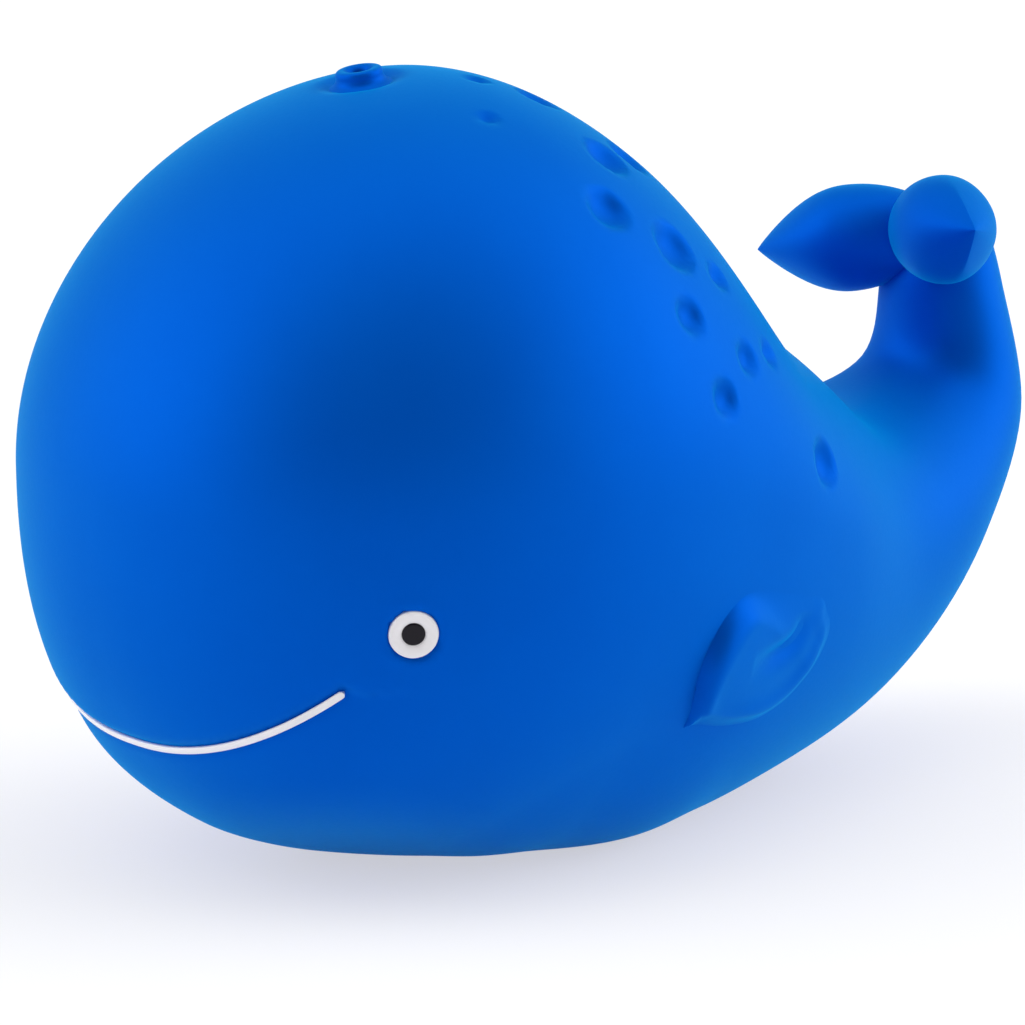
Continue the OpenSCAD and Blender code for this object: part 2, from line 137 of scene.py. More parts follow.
# Profiles of the round pieces: radius and height in mm, from the axis out, over the top and back to the axis
NUB_PROFILE = [
    (0, -4.6), (2.2, -4.6), (4.4, -1.4), (3.5, -0.75), (2.75, -0.4), (2.5, 0.1), (2.5, 0.6), (2.35, 0.95),
    (1.9, 1.08), (1.45, 0.98), (1.1, 0.6), (1.05, 0.1), (1.05, -4), (0, -4),
]
EYE_PROFILE = [
    (0, -0.95), (2.4, -0.95), (2.5, -0.85), (2.5, -0.2), (2.42, -0.04), (2.1, 0.02), (1.7, -0.04),
    (1.3, -0.2), (1, -0.4), (0, -0.5),
]
PUPIL_PROFILE = [
    (0, -0.7), (0.95, -0.65), (1.16, -0.45), (1.18, -0.24), (1.08, -0.16), (0.7, -0.1), (0, -0.06),
]
SEAT_PROFILE = [
    (6.9, 4.7), (14.4, 4.7), (15, 1.2), (14.5, 0.3), (13.8, 0), (12.2, 0), (11.6, 0.05), (11.4, 0.4),
    (11.4, 2), (11.2, 2.2), (7.2, 2.2), (6.9, 2.5),
]

# Dish of an eye: depth and lip height in mm; edge, and place and width of the lip, as shares of its radius
DISH_DEPTH, DISH_LIP = 0.9, 0.12
DISH_EDGE_SHARES = (0.6, 0.72)
DISH_LIP_SHARES = (0.82, 0.14)
# Pit under the nub and moat round it in mm: depths, radii of the pit's edge, radius and width of the moat
PIT_DEPTH, PIT_EDGE = 4.5, (1.4, 3)
MOAT_DEPTH, MOAT_RADIUS, MOAT_WIDTH = 0.6, 3.3, 0.9
# Underside in mm: rounding of the base's edge, what counts as under, then height and edge radii of the land
# round the seat and of the seat's hole
BASE_ROUNDING, UNDER_HEIGHT = 0.5, 3
LAND_HEIGHT, LAND_EDGE = 0.35, (14, 16)
HOLE_HEIGHT, HOLE_EDGE = 7, (11.8, 13.8)
# Mouth in mm: depth and reach of its groove and of the lip below it, depth and half heights of its paint
GROOVE_DEPTH, GROOVE_REACH, LIP_DEPTH, LIP_REACH = 0.2, 1.5, 0.5, 6
PAINT_DEPTH, PAINT_CROWN, PAINT_ROOT = 0.28, 0.12, 0.5
# Part of the head that the mouth's groove can reach: along nose_length and body_height
MOUTH_REACH_SHARES = (0.4, 0.45)
# Thinnest share of the mouth line's width at its ends
MOUTH_END_SHARE = 0.02
# Farthest from a round piece along its axis that the skin takes its hollow, in mm
SAME_SIDE = 8

# Rows along the nose, back, tail and the stalk's end, points round a section, and the back's last station
NOSE_ROWS, BACK_ROWS, TAIL_ROWS, END_ROWS, SKIN_SIDES = 104, 96, 52, 8, 384
BACK_STATIONS = 2.5
# Rows along a flipper, points across its top and its back, and passes that round its outline
FLIPPER_ROWS, FLIPPER_SIDES, FLIPPER_BACK_SIDES, OUTLINE_PASSES = 150, 110, 22, 5
# Rows along a fluke, how they crowd to its tip and points round it; rows and points of the mouth line, points
# of its groove, and points round a turned piece
FLUKE_ROWS, FLUKE_CROWDING, FLUKE_SIDES = 79, 1.5, 96
MOUTH_ROWS, MOUTH_SIDES, GROOVE_POINTS = 258, 20, 240
TURNED_SIDES = 72
# Halvings that find a point of the head, steps that find one of the flank, their size, and where that search
# starts and may end, in radians; step of a slope, last share of the nose that has one, least divisor
HALVINGS, FLANK_STEPS, FLANK_STEP = 40, 30, 1e-4
FLANK_START, FLANK_LIMIT = -0.5, 1.5
SLOPE_STEP, NOSE_END_SHARE, LEAST_DIVISOR = 0.01 * MM, 0.9999, 1e-12

# Light tent: levels at its sides and in its gap, the gap's edges as cosines and its flattening; share of the
# level behind and its edges; the softbox's level and edges; share of the level overhead and its edges
TENT_LEVEL, GAP_LEVEL, GAP_EDGES, GAP_FLATTENING = 3.1, 0.05, (0.2, 0.85), 0.6
BEHIND_SHARE, BEHIND_EDGES = 0.3, (-0.75, -0.1)
SOFTBOX_LEVEL, SOFTBOX_EDGES = 0.6, (0.8, 0.97)
ROOF_SHARE, ROOF_EDGES = 0.65, (0.35, 0.95)
# Half the floor's width and the camera's near limit in metres, and the sensor's width in mm
FLOOR_REACH, CLIP_START, SENSOR_WIDTH = 6.0, 0.01, 36
# Floor's colour to rays that light other things, its colour and its glow to rays that show it
FLOOR_LIT, FLOOR_SEEN, FLOOR_GLOW = "#f6f6f6", "#b4b4b4", "#c6c6c6"
# Sockets of a colour mix: its two inputs and its result
MIX_FIRST, MIX_SECOND, MIX_RESULT = 6, 7, 2


def linear(code):
    """Turns an sRGB hex colour into linear red, green, blue and alpha."""
    srgb = np.array([int(code[i:i + 2], 16) for i in (1, 3, 5)]) / 255
    flat = np.where(srgb <= 0.04045, srgb / 12.92, ((srgb + 0.055) / 1.055) ** 2.4)
    return (*flat.tolist(), 1.0)


def length(name, words, default):
    """A length property in metres."""
    return bpy.props.FloatProperty(name=name, description=words, default=default, precision=5, unit="LENGTH")


def angle(name, words, degrees):
    """An angle property."""
    turn = math.radians(degrees)
    return bpy.props.FloatProperty(name=name, description=words, default=turn, subtype="ANGLE")


def portion(name, words, default):
    """A share of a whole."""
    return bpy.props.FloatProperty(name=name, description=words, default=default, min=0, max=1)


def colour(name, words, code):
    """A colour property from an sRGB hex value."""
    rgb = linear(code)[:3]
    return bpy.props.FloatVectorProperty(name=name, description=words, default=rgb, subtype="COLOR")


class WhaleSizes(bpy.types.PropertyGroup):
    """Sizes of the whale's visible shapes."""
    body_width: length("Body width", "Width across the cheeks", SKIN_HIGH.x - SKIN_LOW.x)
    body_height: length("Body height", "Height of the crown above the base", 82.5 * MM)
    nose_length: length("Nose length", "From the widest section to the nose's tip", 42.5 * MM)
    tail_reach: length("Tail reach", "From the widest section to the stalk's middle", 78.95 * MM)
    fluke_span: length("Fluke span", "Sideways reach of a fluke", 18 * MM)
    fluke_sweep: length("Fluke sweep", "From a fluke's root forwards to its tip", 9.4 * MM)
    fluke_droop: length("Fluke droop", "From a fluke's root down to its tip", 0.4 * MM)
    fluke_height: length("Fluke height", "Greatest height of a fluke", 12.5 * MM)
    fluke_thickness: length("Fluke thickness", "Greatest thickness of a fluke", 11.5 * MM)
    fluke_roll: angle("Fluke roll", "Lift of the left fluke over the right one", 10)
    flipper_length: length("Flipper length", "Length of a flipper", 23 * MM)
    flipper_rise: length("Flipper rise", "Height of a flipper over the flank", 2.5 * MM)
    flipper_turn: angle("Flipper turn", "Upward slant of a flipper", 36)
    dimple_share: portion("Dimple depth", "Depth of a dimple over its diameter", 0.23)
    dish_diameter: length("Dish diameter", "Diameter of the dish around an eye", 7.4 * MM)
    eye_turn: angle("Eye turn", "Turn of an eye from straight ahead", 51)
    mouth_width: length("Mouth width", "Width of the painted mouth line", 0.8 * MM)
    mouth_rise: length("Mouth rise", "From the mouth's middle up to its ends", 9 * MM)
    mouth_turn: angle("Mouth turn", "Turn of the mouth's ends from straight ahead", 41)
    squeeze_keep: portion("Squeeze keep", "Share of the width left when squeezed", 0.82)


class WhaleColours(bpy.types.PropertyGroup):
    """Colours of the rubber, the paints and the squeaker."""
    rubber: colour("Rubber", "Blue of the skin", "#0059cd")
    rubber_deep: colour("Deep rubber", "Darker clouds in the blue", "#0052c6")
    white_paint: colour("White paint", "White of the eyes and the mouth", "#fdfafd")
    black_paint: colour("Black paint", "Black of the pupils", "#15101c")
    cup_plastic: colour("Cup plastic", "Off-white of the cup and cap", "#e9e6df")
    block_plastic: colour("Block plastic", "Pale grey of the reed block", "#c9c6c0")
    reed_film: colour("Reed film", "Amber of the reed", "#d9b36a")


class WhaleStage(bpy.types.PropertyGroup):
    """Camera and light."""
    azimuth: angle("Azimuth", "Turn of the camera from straight ahead", 50)
    elevation: angle("Elevation", "Height of the camera as an angle", 12)
    distance: length("Distance", "From the camera to its target", 475 * MM)
    target_y: length("Target y", "Target behind the widest section", 13.5 * MM)
    target_z: length("Target z", "Target above the base", 33.1 * MM)
    gap_azimuth: angle("Gap azimuth", "Turn of the dark gap from straight ahead", 57)
    gap_elevation: angle("Gap elevation", "Height of the dark gap as an angle", 0)
    softbox_azimuth: angle("Softbox azimuth", "Turn of the softbox from straight ahead", 150)
    softbox_elevation: angle("Softbox elevation", "Height of the softbox as an angle", 22)
    lens: bpy.props.FloatProperty(name="Lens", description="Focal length in mm", default=153.7)


def unit(vectors):
    """Vectors scaled to length 1."""
    return vectors / np.maximum(np.linalg.norm(vectors, axis=-1, keepdims=True), LEAST_DIVISOR)


def smooth_step(low, high, values):
    """0 below low, 1 above high and a smooth cubic between."""
    t = np.clip((values - low) / (high - low), 0, 1)
    return t * t * (3 - 2 * t)


def hollow(reach):
    """A round hollow: (1 - reach squared) squared inside reach 1, and 0 outside."""
    return np.clip(1 - reach ** 2, 0, None) ** 2


def signed_power(values, power):
    """Each value's size raised to a power, with its sign kept."""
    return np.sign(values) * np.abs(values) ** power


def place(points, sizes):
    """Moves points from whale coordinates into the frame's, whose front end is the tip of the nose."""
    return np.asarray(points) + np.array([0, SKIN_LOW.y + sizes.nose_length, 0])


def stations(sizes):
    """The section table in metres."""
    up = sizes.body_height
    scale = [sizes.tail_reach, up, 1, sizes.body_width / 2, up, up, 1]
    return STATION_SHARES * scale


def station_rows(at, sizes):
    """Sections at station numbers, by a Catmull-Rom curve through the table with a mirrored row before it."""
    rows = stations(sizes)
    before = rows[1] * [-1, 1, 1, 1, 1, 1, 1]
    rows = np.vstack([before, rows, 2 * rows[-1] - rows[-2]])
    i = np.minimum(np.floor(at).astype(int), len(rows) - 4)
    t = (at - i)[:, None]
    a, b, c, d = rows[i], rows[i + 1], rows[i + 2], rows[i + 3]
    return (2 * b + (c - a) * t + (2 * a - 5 * b + 4 * c - d) * t ** 2 + (3 * b - a - 3 * c + d) * t ** 3) / 2


def nose_cap(along, power):
    """Share of the full section at a share along the nose: the curve along^power + cap^power = 1."""
    return np.maximum(0, 1 - np.abs(along) ** power) ** (1 / power)


def skin_rows(sizes):
    """Sections of the nose, the body and the stalk's round end, in order."""
    head = stations(sizes)[0]
    tail = stations(sizes)[-1]
    c = np.cos(np.linspace(0, math.pi / 2, NOSE_ROWS + 1)[1:-1])
    nose = np.stack([-sizes.nose_length * c, 0 * c + head[1], 0 * c, head[3] * nose_cap(c, SIDE_POWER),
        head[4] * nose_cap(c, CROWN_POWER), head[5] * nose_cap(c, JOWL_POWER), 0 * c + head[6]], axis=1)
    back = np.linspace(0, BACK_STATIONS, BACK_ROWS)
    stalk = np.linspace(BACK_STATIONS, len(STATION_SHARES) - 1, TAIL_ROWS)[1:]
    body = station_rows(np.concatenate([back, stalk]), sizes)
    turn = np.linspace(0, math.pi / 2, END_ROWS + 1)[1:-1]
    tilt = math.radians(tail[2])
    end = np.repeat(tail[None], len(turn), axis=0)
    end[:, 0] += math.cos(tilt) * tail[4] * np.sin(turn)
    end[:, 1] += math.sin(tilt) * tail[4] * np.sin(turn)
    end[:, 3:6] *= np.cos(turn)[:, None]
    return np.concatenate([nose, body, end])


def section_points(rows, angles):
    """Points round each section: an ellipse above, and below a fuller curve of the row's own power."""
    y, z, tilt, width, rise, drop, low_power = [column[..., None] for column in np.moveaxis(rows, -1, 0)]
    c, s = np.cos(angles), np.sin(angles)
    power = np.where(s >= 0, 2, low_power)
    x = width * signed_power(c, 2 / power)
    h = np.where(s >= 0, rise, drop) * signed_power(s, 2 / power)
    tilt = np.radians(tilt)
    return np.stack([x, y - np.sin(tilt) * h, z + np.cos(tilt) * h], axis=-1)


def grid_normals(points):
    """Outward directions of a grid that closes round its second axis, from differences to the neighbours."""
    along = np.gradient(points, axis=0)
    around = np.roll(points, -1, axis=1) - np.roll(points, 1, axis=1)
    normals = unit(np.cross(around, along))
    middle = points.mean(axis=1, keepdims=True)
    return normals * np.sign(np.sum(normals * (points - middle)))


def head_level(points, sizes):
    """Level of the head's surface: under 1 inside it, 1 on it."""
    head = stations(sizes)[0]
    along = np.minimum(np.abs(points[..., 1]) / sizes.nose_length, NOSE_END_SHARE)
    below = points[..., 2] < head[1]
    power = np.where(below, head[6], 2)
    height = np.where(below, head[5] * nose_cap(along, JOWL_POWER), head[4] * nose_cap(along, CROWN_POWER))
    across = np.abs(points[..., 0]) / (head[3] * nose_cap(along, SIDE_POWER))
    return across ** power + (np.abs(points[..., 2] - head[1]) / height) ** power


def head_points(turns, heights, sizes):
    """Points of the head at turns from straight ahead and heights, by halving the reach to the surface."""
    ways = np.stack([np.sin(turns), -np.cos(turns), 0 * turns], axis=-1)
    level = np.stack([0 * turns, 0 * turns, heights], axis=-1)
    low = 0 * turns
    high = low + sizes.body_width
    for _ in range(HALVINGS):
        middle = (low + high) / 2
        outside = head_level(ways * middle[..., None] + level, sizes) > 1
        low = np.where(outside, low, middle)
        high = np.where(outside, middle, high)
    return ways * low[..., None] + level


def head_normals(points, sizes):
    """Outward directions of the head, from the slope of its level."""
    steps = np.eye(3) * SLOPE_STEP
    slopes = [head_level(points + step, sizes) - head_level(points - step, sizes) for step in steps]
    return unit(np.stack(slopes, axis=-1))


def eye_axis(sizes):
    """Place of the left eye on the head and the direction that it looks in."""
    spot = head_points(np.array([sizes.eye_turn]), np.array([EYE_SHARE * sizes.body_height]), sizes)
    return spot[0], head_normals(spot, sizes)[0]


def nub_axis(sizes):
    """Place of the blowhole's nub on the crown and the direction that it points in."""
    y = -NUB_SHARE * sizes.nose_length
    head = stations(sizes)[0]
    spot = np.array([[0, y, head[1] + head[4] * nose_cap(y / sizes.nose_length, CROWN_POWER)]])
    return spot[0], head_normals(spot, sizes)[0]


def seat_middle(sizes):
    """Point of the base under the middle of the squeaker's cup."""
    middle = (CUP_LOW + CUP_HIGH) / 2
    return np.array([middle.x, middle.y, 0]) - place(np.zeros(3), sizes)


def mouth_points(shares, sizes):
    """Points of the mouth's middle line: at a share of its turn it has risen by the share to a power."""
    heights = MOUTH_SHARE * sizes.body_height + sizes.mouth_rise * np.abs(shares) ** MOUTH_POWER
    return head_points(shares * sizes.mouth_turn, heights, sizes)


def flank_points(y, z, sizes):
    """Points of the left flank at given places y and heights z, and the ways outwards there:
    a start on the flank, moved by the misses in y and z over their slopes until both are met."""
    at = y / (STATION_SHARES[1, 0] * sizes.tail_reach)
    angles = np.full_like(y, FLANK_START)
    for _ in range(FLANK_STEPS):
        here, ahead, above = flank_steps(at, angles, sizes)
        at = at + (y - here[:, 1]) / ahead[:, 1] * FLANK_STEP
        angles = np.clip(angles + (z - here[:, 2]) / above[:, 2] * FLANK_STEP, -FLANK_LIMIT, FLANK_LIMIT)
    here, ahead, above = flank_steps(at, angles, sizes)
    return here, unit(np.cross(ahead, above))


def flank_steps(at, angles, sizes):
    """Points of the skin at stations and angles, and small steps from them along the body and round it."""
    here = section_points(station_rows(at, sizes), angles[:, None])[:, 0]
    ahead = section_points(station_rows(at + FLANK_STEP, sizes), angles[:, None])[:, 0]
    above = section_points(station_rows(at, sizes), angles[:, None] + FLANK_STEP)[:, 0]
    return here, ahead - here, above - here


def line_gaps(points, line):
    """Vectors from a line's nearest points to points, the line's direction there and the share along it."""
    gaps = points[:, :, None] - line
    nearest = np.linalg.norm(gaps, axis=-1).argmin(axis=-1)
    gap = np.take_along_axis(gaps, nearest[..., None, None], axis=2)[:, :, 0]
    return gap, np.gradient(line, axis=0)[nearest], nearest / (len(line) - 1)


def flipper_grid(sizes):
    """Grid over a flipper: shares along it from tip to root, places along and across it between its edges,
    over its top and back under it, its width, and both edges."""
    share = (1 - np.cos(np.linspace(0, math.pi, FLIPPER_ROWS + 2)[1:-1, None])) / 2
    top = np.sin(np.linspace(-math.pi / 2, math.pi / 2, FLIPPER_SIDES))
    under = np.linspace(1, -1, FLIPPER_BACK_SIDES + 2)[1:-1]
    t = np.concatenate([top, under])[None]
    front_line = corner_cut(FLIPPER_OUTLINE_SHARES[:, :2], OUTLINE_PASSES) * sizes.flipper_length
    rear_line = corner_cut(FLIPPER_OUTLINE_SHARES[:, ::2], OUTLINE_PASSES) * sizes.flipper_length
    along = share * sizes.flipper_length + 0 * t
    front = np.interp(along, front_line[:, 0], front_line[:, 1])
    rear = np.interp(along, rear_line[:, 0], rear_line[:, 1])
    places = np.stack([along, (front + rear) / 2 + (front - rear) / 2 * t], axis=-1)
    return share, places, front - rear, front_line, rear_line


def flipper_relief(share, places, width, front_line, rear_line, sizes):
    """Relief of a flipper without its fold, as a share and a height. The share climbs from the front edge,
    steeply at the tip and softly at the root, and sinks to the rear; the height has a rim along the rear."""
    from_front = np.linalg.norm(line_gaps(places, front_line)[0], axis=-1)
    from_rear = np.linalg.norm(line_gaps(places, rear_line)[0], axis=-1)
    slope = FRONT_TIP + FRONT_MIDDLE * smooth_step(*WIDENING_SHARES, share)
    slope = (slope + FRONT_ROOT * smooth_step(*OPENING_SHARES, share)) * MM
    climb = np.clip(from_front / np.minimum(slope, FRONT_SHARE * width), 0, 1)
    soft = smooth_step(*SOFTENING_SHARES, share)
    climb = (1 - (1 - climb) ** FRONT_POWER) * (1 - soft) + smooth_step(0, 1, climb) * soft
    sinking = smooth_step(0, REAR_REACH_SHARE, from_rear / width)
    climb = climb * (REAR_HEIGHT_SHARE + (1 - REAR_HEIGHT_SHARE) * sinking)
    fall = smooth_step(0, 1, from_rear / np.minimum(REAR_SLOPE * MM, REAR_SHARE * width))
    rim = np.exp(-((from_rear - REAR_SLOPE * MM) / (RIM_WIDTH * MM)) ** 2) * smooth_step(*RIM_SHARES, share)
    stands = 1 - ROOT_DROP_SHARE * smooth_step(*DROP_SHARES, share)
    stands = stands * np.sqrt(smooth_step(*TIP_SHARES, share))
    body = climb * fall * (1 - smooth_step(*END_SHARES, share))
    return body, stands * sizes.flipper_rise + RIM_HEIGHT * MM * rim


def flipper_fold(y, z):
    """Share of the fold's depth: a bell across the fold's line, wider below it, that fades at both ends."""
    gap, run, place_along = line_gaps(np.stack([y, z], axis=-1), corner_cut(FLIPPER_FOLD) * MM)
    below = gap[..., 0] * run[..., 1] - gap[..., 1] * run[..., 0] < 0
    width = np.where(below, FOLD_BELOW, FOLD_ABOVE) * MM
    ends = smooth_step(*FOLD_START_SHARES, place_along) * (1 - smooth_step(*FOLD_END_SHARES, place_along))
    return np.exp(-(np.linalg.norm(gap, axis=-1) / width) ** 2) * ends


def flipper_surface(sizes):
    """The left flipper: a leaf laid on the flank and moved outwards by its relief less its fold."""
    share, places, width, front_line, rear_line = flipper_grid(sizes)
    along, across = np.moveaxis(places, -1, 0)
    c, s = math.cos(sizes.flipper_turn), math.sin(sizes.flipper_turn)
    y = FLIPPER_TIP_SHARES[0] * sizes.tail_reach + along * c - across * s
    z = FLIPPER_TIP_SHARES[1] * sizes.body_height + along * s + across * c
    flank, out = flank_points(y.ravel(), z.ravel(), sizes)
    body, relief = flipper_relief(share, places, width, front_line, rear_line, sizes)
    height = body * (relief - FOLD_DEPTH * MM * flipper_fold(y, z)) - FOOT_DEPTH * MM
    height[:, FLIPPER_SIDES:] = -BACK_DEPTH * MM
    return (flank + height.reshape(-1, 1) * out).reshape(FLIPPER_ROWS, -1, 3)


def dimple_depth(points, sizes):
    """Round hollows down both sides of the back, each measured from its own place on the skin."""
    mirrored = np.abs(points[..., 0:1]) * [1, 0, 0] + points * [0, 1, 1]
    depth = np.zeros(points.shape[:-1])
    for behind, up, diameter in DIMPLES:
        row = station_rows(np.array([abs(behind) * MM / STATION_SHARES[1, 0] / sizes.tail_reach]), sizes)
        spot = section_points(row, np.array([math.radians(up)]))[0, 0]
        spot[1] = behind * MM
        reach = np.linalg.norm(mirrored - spot, axis=-1) / (diameter / 2 * MM)
        depth += sizes.dimple_share * diameter * MM * np.clip(1 - reach ** DIMPLE_POWER, 0, None)
    return depth


def swell_height(points):
    """Wide, low swells and hollows on both sides of the underside, added where they meet."""
    height = np.zeros(points.shape[:-1])
    for across, behind, up, reach, rise in SWELLS:
        for side in (1, -1):
            gap = np.linalg.norm(points - np.array([side * across, behind, up]) * MM, axis=-1)
            height += rise * MM * hollow(gap / (reach * MM))
    return height


def radial_reach(points, spot, out):
    """Distance of points from the line through spot along out, or a metre on the skin's far side."""
    away = points - spot
    along = away @ out
    reach = np.linalg.norm(away - along[..., None] * out, axis=-1)
    return np.where(np.abs(along) < SAME_SIDE * MM, reach, 1)


def mouth_dent(points, sizes):
    """A shallow groove along the mouth, and below it a lip set back a little, both fading from the line."""
    line = mouth_points(np.linspace(-1, 1, GROOVE_POINTS), sizes)
    front = points[..., 1] < -MOUTH_REACH_SHARES[0] * sizes.nose_length
    near = front & (points[..., 2] < MOUTH_REACH_SHARES[1] * sizes.body_height)
    found = points[near]
    gaps = np.linalg.norm(found[:, None] - line[None], axis=-1)
    gap = gaps.min(axis=1)
    below = found[:, 2] < line[gaps.argmin(axis=1), 2]
    groove = hollow(gap / (GROOVE_REACH * MM))
    lip = np.where(below, np.exp(-(gap / (LIP_REACH * MM)) ** 2), groove)
    depth = np.zeros(points.shape[:-1])
    depth[near] = GROOVE_DEPTH * MM * groove + LIP_DEPTH * MM * lip
    return depth


def dish_height(points, sizes):
    """Flat hollows that hold the eyes, each with a low round lip."""
    spot, out = eye_axis(sizes)
    radius = sizes.dish_diameter / 2
    height = np.zeros(points.shape[:-1])
    for side in (1, -1):
        reach = radial_reach(points, spot * [side, 1, 1], out * [side, 1, 1]) / radius
        height -= DISH_DEPTH * MM * (1 - smooth_step(*DISH_EDGE_SHARES, reach))
        height += DISH_LIP * MM * np.exp(-((reach - DISH_LIP_SHARES[0]) / DISH_LIP_SHARES[1]) ** 2)
    return height


def nub_depth(points, sizes):
    """A pit that takes the nub and a soft moat round it."""
    reach = radial_reach(points, *nub_axis(sizes)) / MM
    pit = PIT_DEPTH * MM * (1 - smooth_step(*PIT_EDGE, reach))
    return pit + MOAT_DEPTH * MM * np.exp(-((reach - MOAT_RADIUS) / MOAT_WIDTH) ** 2)


def skin_surface(sizes):
    """The moulded skin: sections moved along their normals by every moulded feature, flat underneath."""
    angles = np.linspace(0, 2 * math.pi, SKIN_SIDES, endpoint=False)
    points = section_points(skin_rows(sizes), angles)
    normals = grid_normals(points)
    height = swell_height(points) + dish_height(points, sizes)
    height -= dimple_depth(points, sizes) + mouth_dent(points, sizes) + nub_depth(points, sizes)
    points = points + height[..., None] * normals
    level = points[..., 2]
    points[..., 2] = (level + np.sqrt(level ** 2 + (BASE_ROUNDING * MM) ** 2)) / 2
    reach = np.linalg.norm(points[..., :2] - seat_middle(sizes)[:2], axis=-1) / MM
    under = points[..., 2] < UNDER_HEIGHT * MM
    points[..., 2] += under * LAND_HEIGHT * MM * (1 - smooth_step(*LAND_EDGE, reach))
    points[..., 2] += under * HOLE_HEIGHT * MM * (1 - smooth_step(*HOLE_EDGE, reach))
    return points


def fluke_surface(side, sizes):
    """One leaf of the tail, from inside the stalk to its pointed tip: round at the root, at the tip a lens
    with sharp upper and lower edges. Gives its rings and both ends."""
    root = np.array([0, FLUKE_ROOT_SHARES[0] * sizes.tail_reach, FLUKE_ROOT_SHARES[1] * sizes.body_height])
    run = np.array([side * sizes.fluke_span, -sizes.fluke_sweep, -sizes.fluke_droop])
    s = 1 - np.linspace(1, 0, FLUKE_ROWS + 1)[:-1, None] ** FLUKE_CROWDING
    axis = unit(run)
    up = unit(np.array([0, 0, 1]) - axis * axis[2])
    across = np.cross(axis, up)
    grown = np.clip((s + FLUKE_START_SHARE) / (FLUKE_FULL_SHARE + FLUKE_START_SHARE), 0, 1)
    spent = np.clip((s - FLUKE_FULL_SHARE) / (1 - FLUKE_FULL_SHARE), 0, 1)
    rising = np.sqrt(np.sin(math.pi / 2 * grown))
    falling = np.cos(math.pi / 2 * spent) ** FLUKE_TAPER_POWER
    full = np.where(s < FLUKE_FULL_SHARE, rising, falling)
    lens = smooth_step(*FLUKE_LENS_SHARES, s)
    angles = np.linspace(0, 2 * math.pi, FLUKE_SIDES, endpoint=False)
    tall = full * sizes.fluke_height / 2 * np.sin(angles)
    leaf = np.sign(np.cos(angles)) * (1 - np.abs(np.sin(angles)) ** FLUKE_EDGE_POWER)
    thick = full * sizes.fluke_thickness / 2 * (np.cos(angles) * (1 - lens) + leaf * lens)
    rings = s[..., None] * run + tall[..., None] * up + thick[..., None] * across
    c, r = math.cos(sizes.fluke_roll), math.sin(sizes.fluke_roll)
    roll = np.array([[c, 0, r], [0, 1, 0], [-r, 0, c]])
    return root + rings @ roll, root, root + run @ roll


def mouth_surface(sizes):
    """The painted line: a flat oval carried along the mouth's groove, with rounded ends."""
    shares = np.sin(np.linspace(-math.pi / 2, math.pi / 2, MOUTH_ROWS + 2))[1:-1]
    line = mouth_points(shares, sizes)
    out = head_normals(line, sizes)
    run = unit(np.gradient(line, axis=0))
    across = np.cross(run, out)
    ends = mouth_points(np.array([-1.0, 1.0]), sizes)
    to_end = np.linalg.norm(line[:, None] - ends, axis=-1).min(axis=1)
    half = sizes.mouth_width / 2
    rounding = 1 - np.clip(1 - to_end / half, 0, 1) ** 2
    width = half * np.sqrt(np.clip(rounding, MOUTH_END_SHARE, 1))
    angles = np.linspace(0, 2 * math.pi, MOUTH_SIDES, endpoint=False)
    c, s = np.cos(angles), np.sin(angles)
    lift = (np.where(s > 0, PAINT_CROWN, PAINT_ROOT) * s - PAINT_DEPTH) * MM
    return line[:, None] + (width[:, None] * c)[..., None] * across[:, None] + lift[..., None] * out[:, None]


def corner_cut(profile, passes=3):
    """A rounder profile: each pass replaces a corner by two points a quarter of the way along its sides."""
    points = np.array(profile, float)
    for _ in range(passes):
        a, b = points[:-1], points[1:]
        cut = np.stack([(3 * a + b) / 4, (a + 3 * b) / 4], axis=1).reshape(-1, 2)
        points = np.vstack([points[:1], cut, points[-1:]])
    return points


def turned_surface(profile, spot, out):
    """A profile of radius and height in mm, carried round the line through spot along out."""
    points = corner_cut(profile) * MM
    side = unit(np.cross(out, [0, 1, 0]))
    other = np.cross(out, side)
    angles = np.linspace(0, 2 * math.pi, TURNED_SIDES, endpoint=False)
    ring = np.cos(angles)[:, None] * side + np.sin(angles)[:, None] * other
    return spot + points[:, 0, None, None] * ring + (points[:, 1, None] * out)[:, None]


def new_piece(name, points, faces):
    """Makes a smooth mesh object, turned the right way out by the sign of its volume."""
    corners = points[faces[0]]
    volume = np.sum(np.cross(corners[:, 0], corners[:, 1]) * corners[:, 2])
    volume += np.sum(np.cross(corners[:, 0], corners[:, 2]) * corners[:, -1])
    loops = [group[:, ::-1] if volume < 0 else group for group in faces]
    mesh = bpy.data.meshes.new(name)
    mesh.from_pydata(points.tolist(), [], [face for group in loops for face in group.tolist()])
    mesh.polygons.foreach_set("use_smooth", np.ones(len(mesh.polygons), bool))
    mesh.update()
    if mesh.validate():
        raise RuntimeError(f"{name} has faulty faces")
    piece = bpy.data.objects.new(name, mesh)
    bpy.context.scene.collection.objects.link(piece)
    return piece


def tipped_piece(name, rings, first_tip, last_tip):
    """A closed piece over rings of points: quads between rings and a fan of triangles to each tip."""
    count, sides = rings.shape[:2]
    points = np.concatenate([rings.reshape(-1, 3), [first_tip, last_tip]])
    ring = np.arange(count * sides).reshape(count, sides)
    turned = np.roll(ring, -1, axis=1)
    quads = np.stack([ring[:-1], turned[:-1], turned[1:], ring[1:]], axis=-1).reshape(-1, 4)
    tip = np.full(sides, count * sides)
    first = np.stack([tip, turned[0], ring[0]], axis=-1)
    last = np.stack([tip + 1, ring[-1], turned[-1]], axis=-1)
    return new_piece(name, points, [quads, first, last])


def turned_piece(name, profile, spot, out):
    """A closed piece of revolution whose profile starts and ends on its axis."""
    rings = turned_surface(profile, spot, out)
    return tipped_piece(name, rings[1:-1], rings[0, 0], rings[-1, 0])


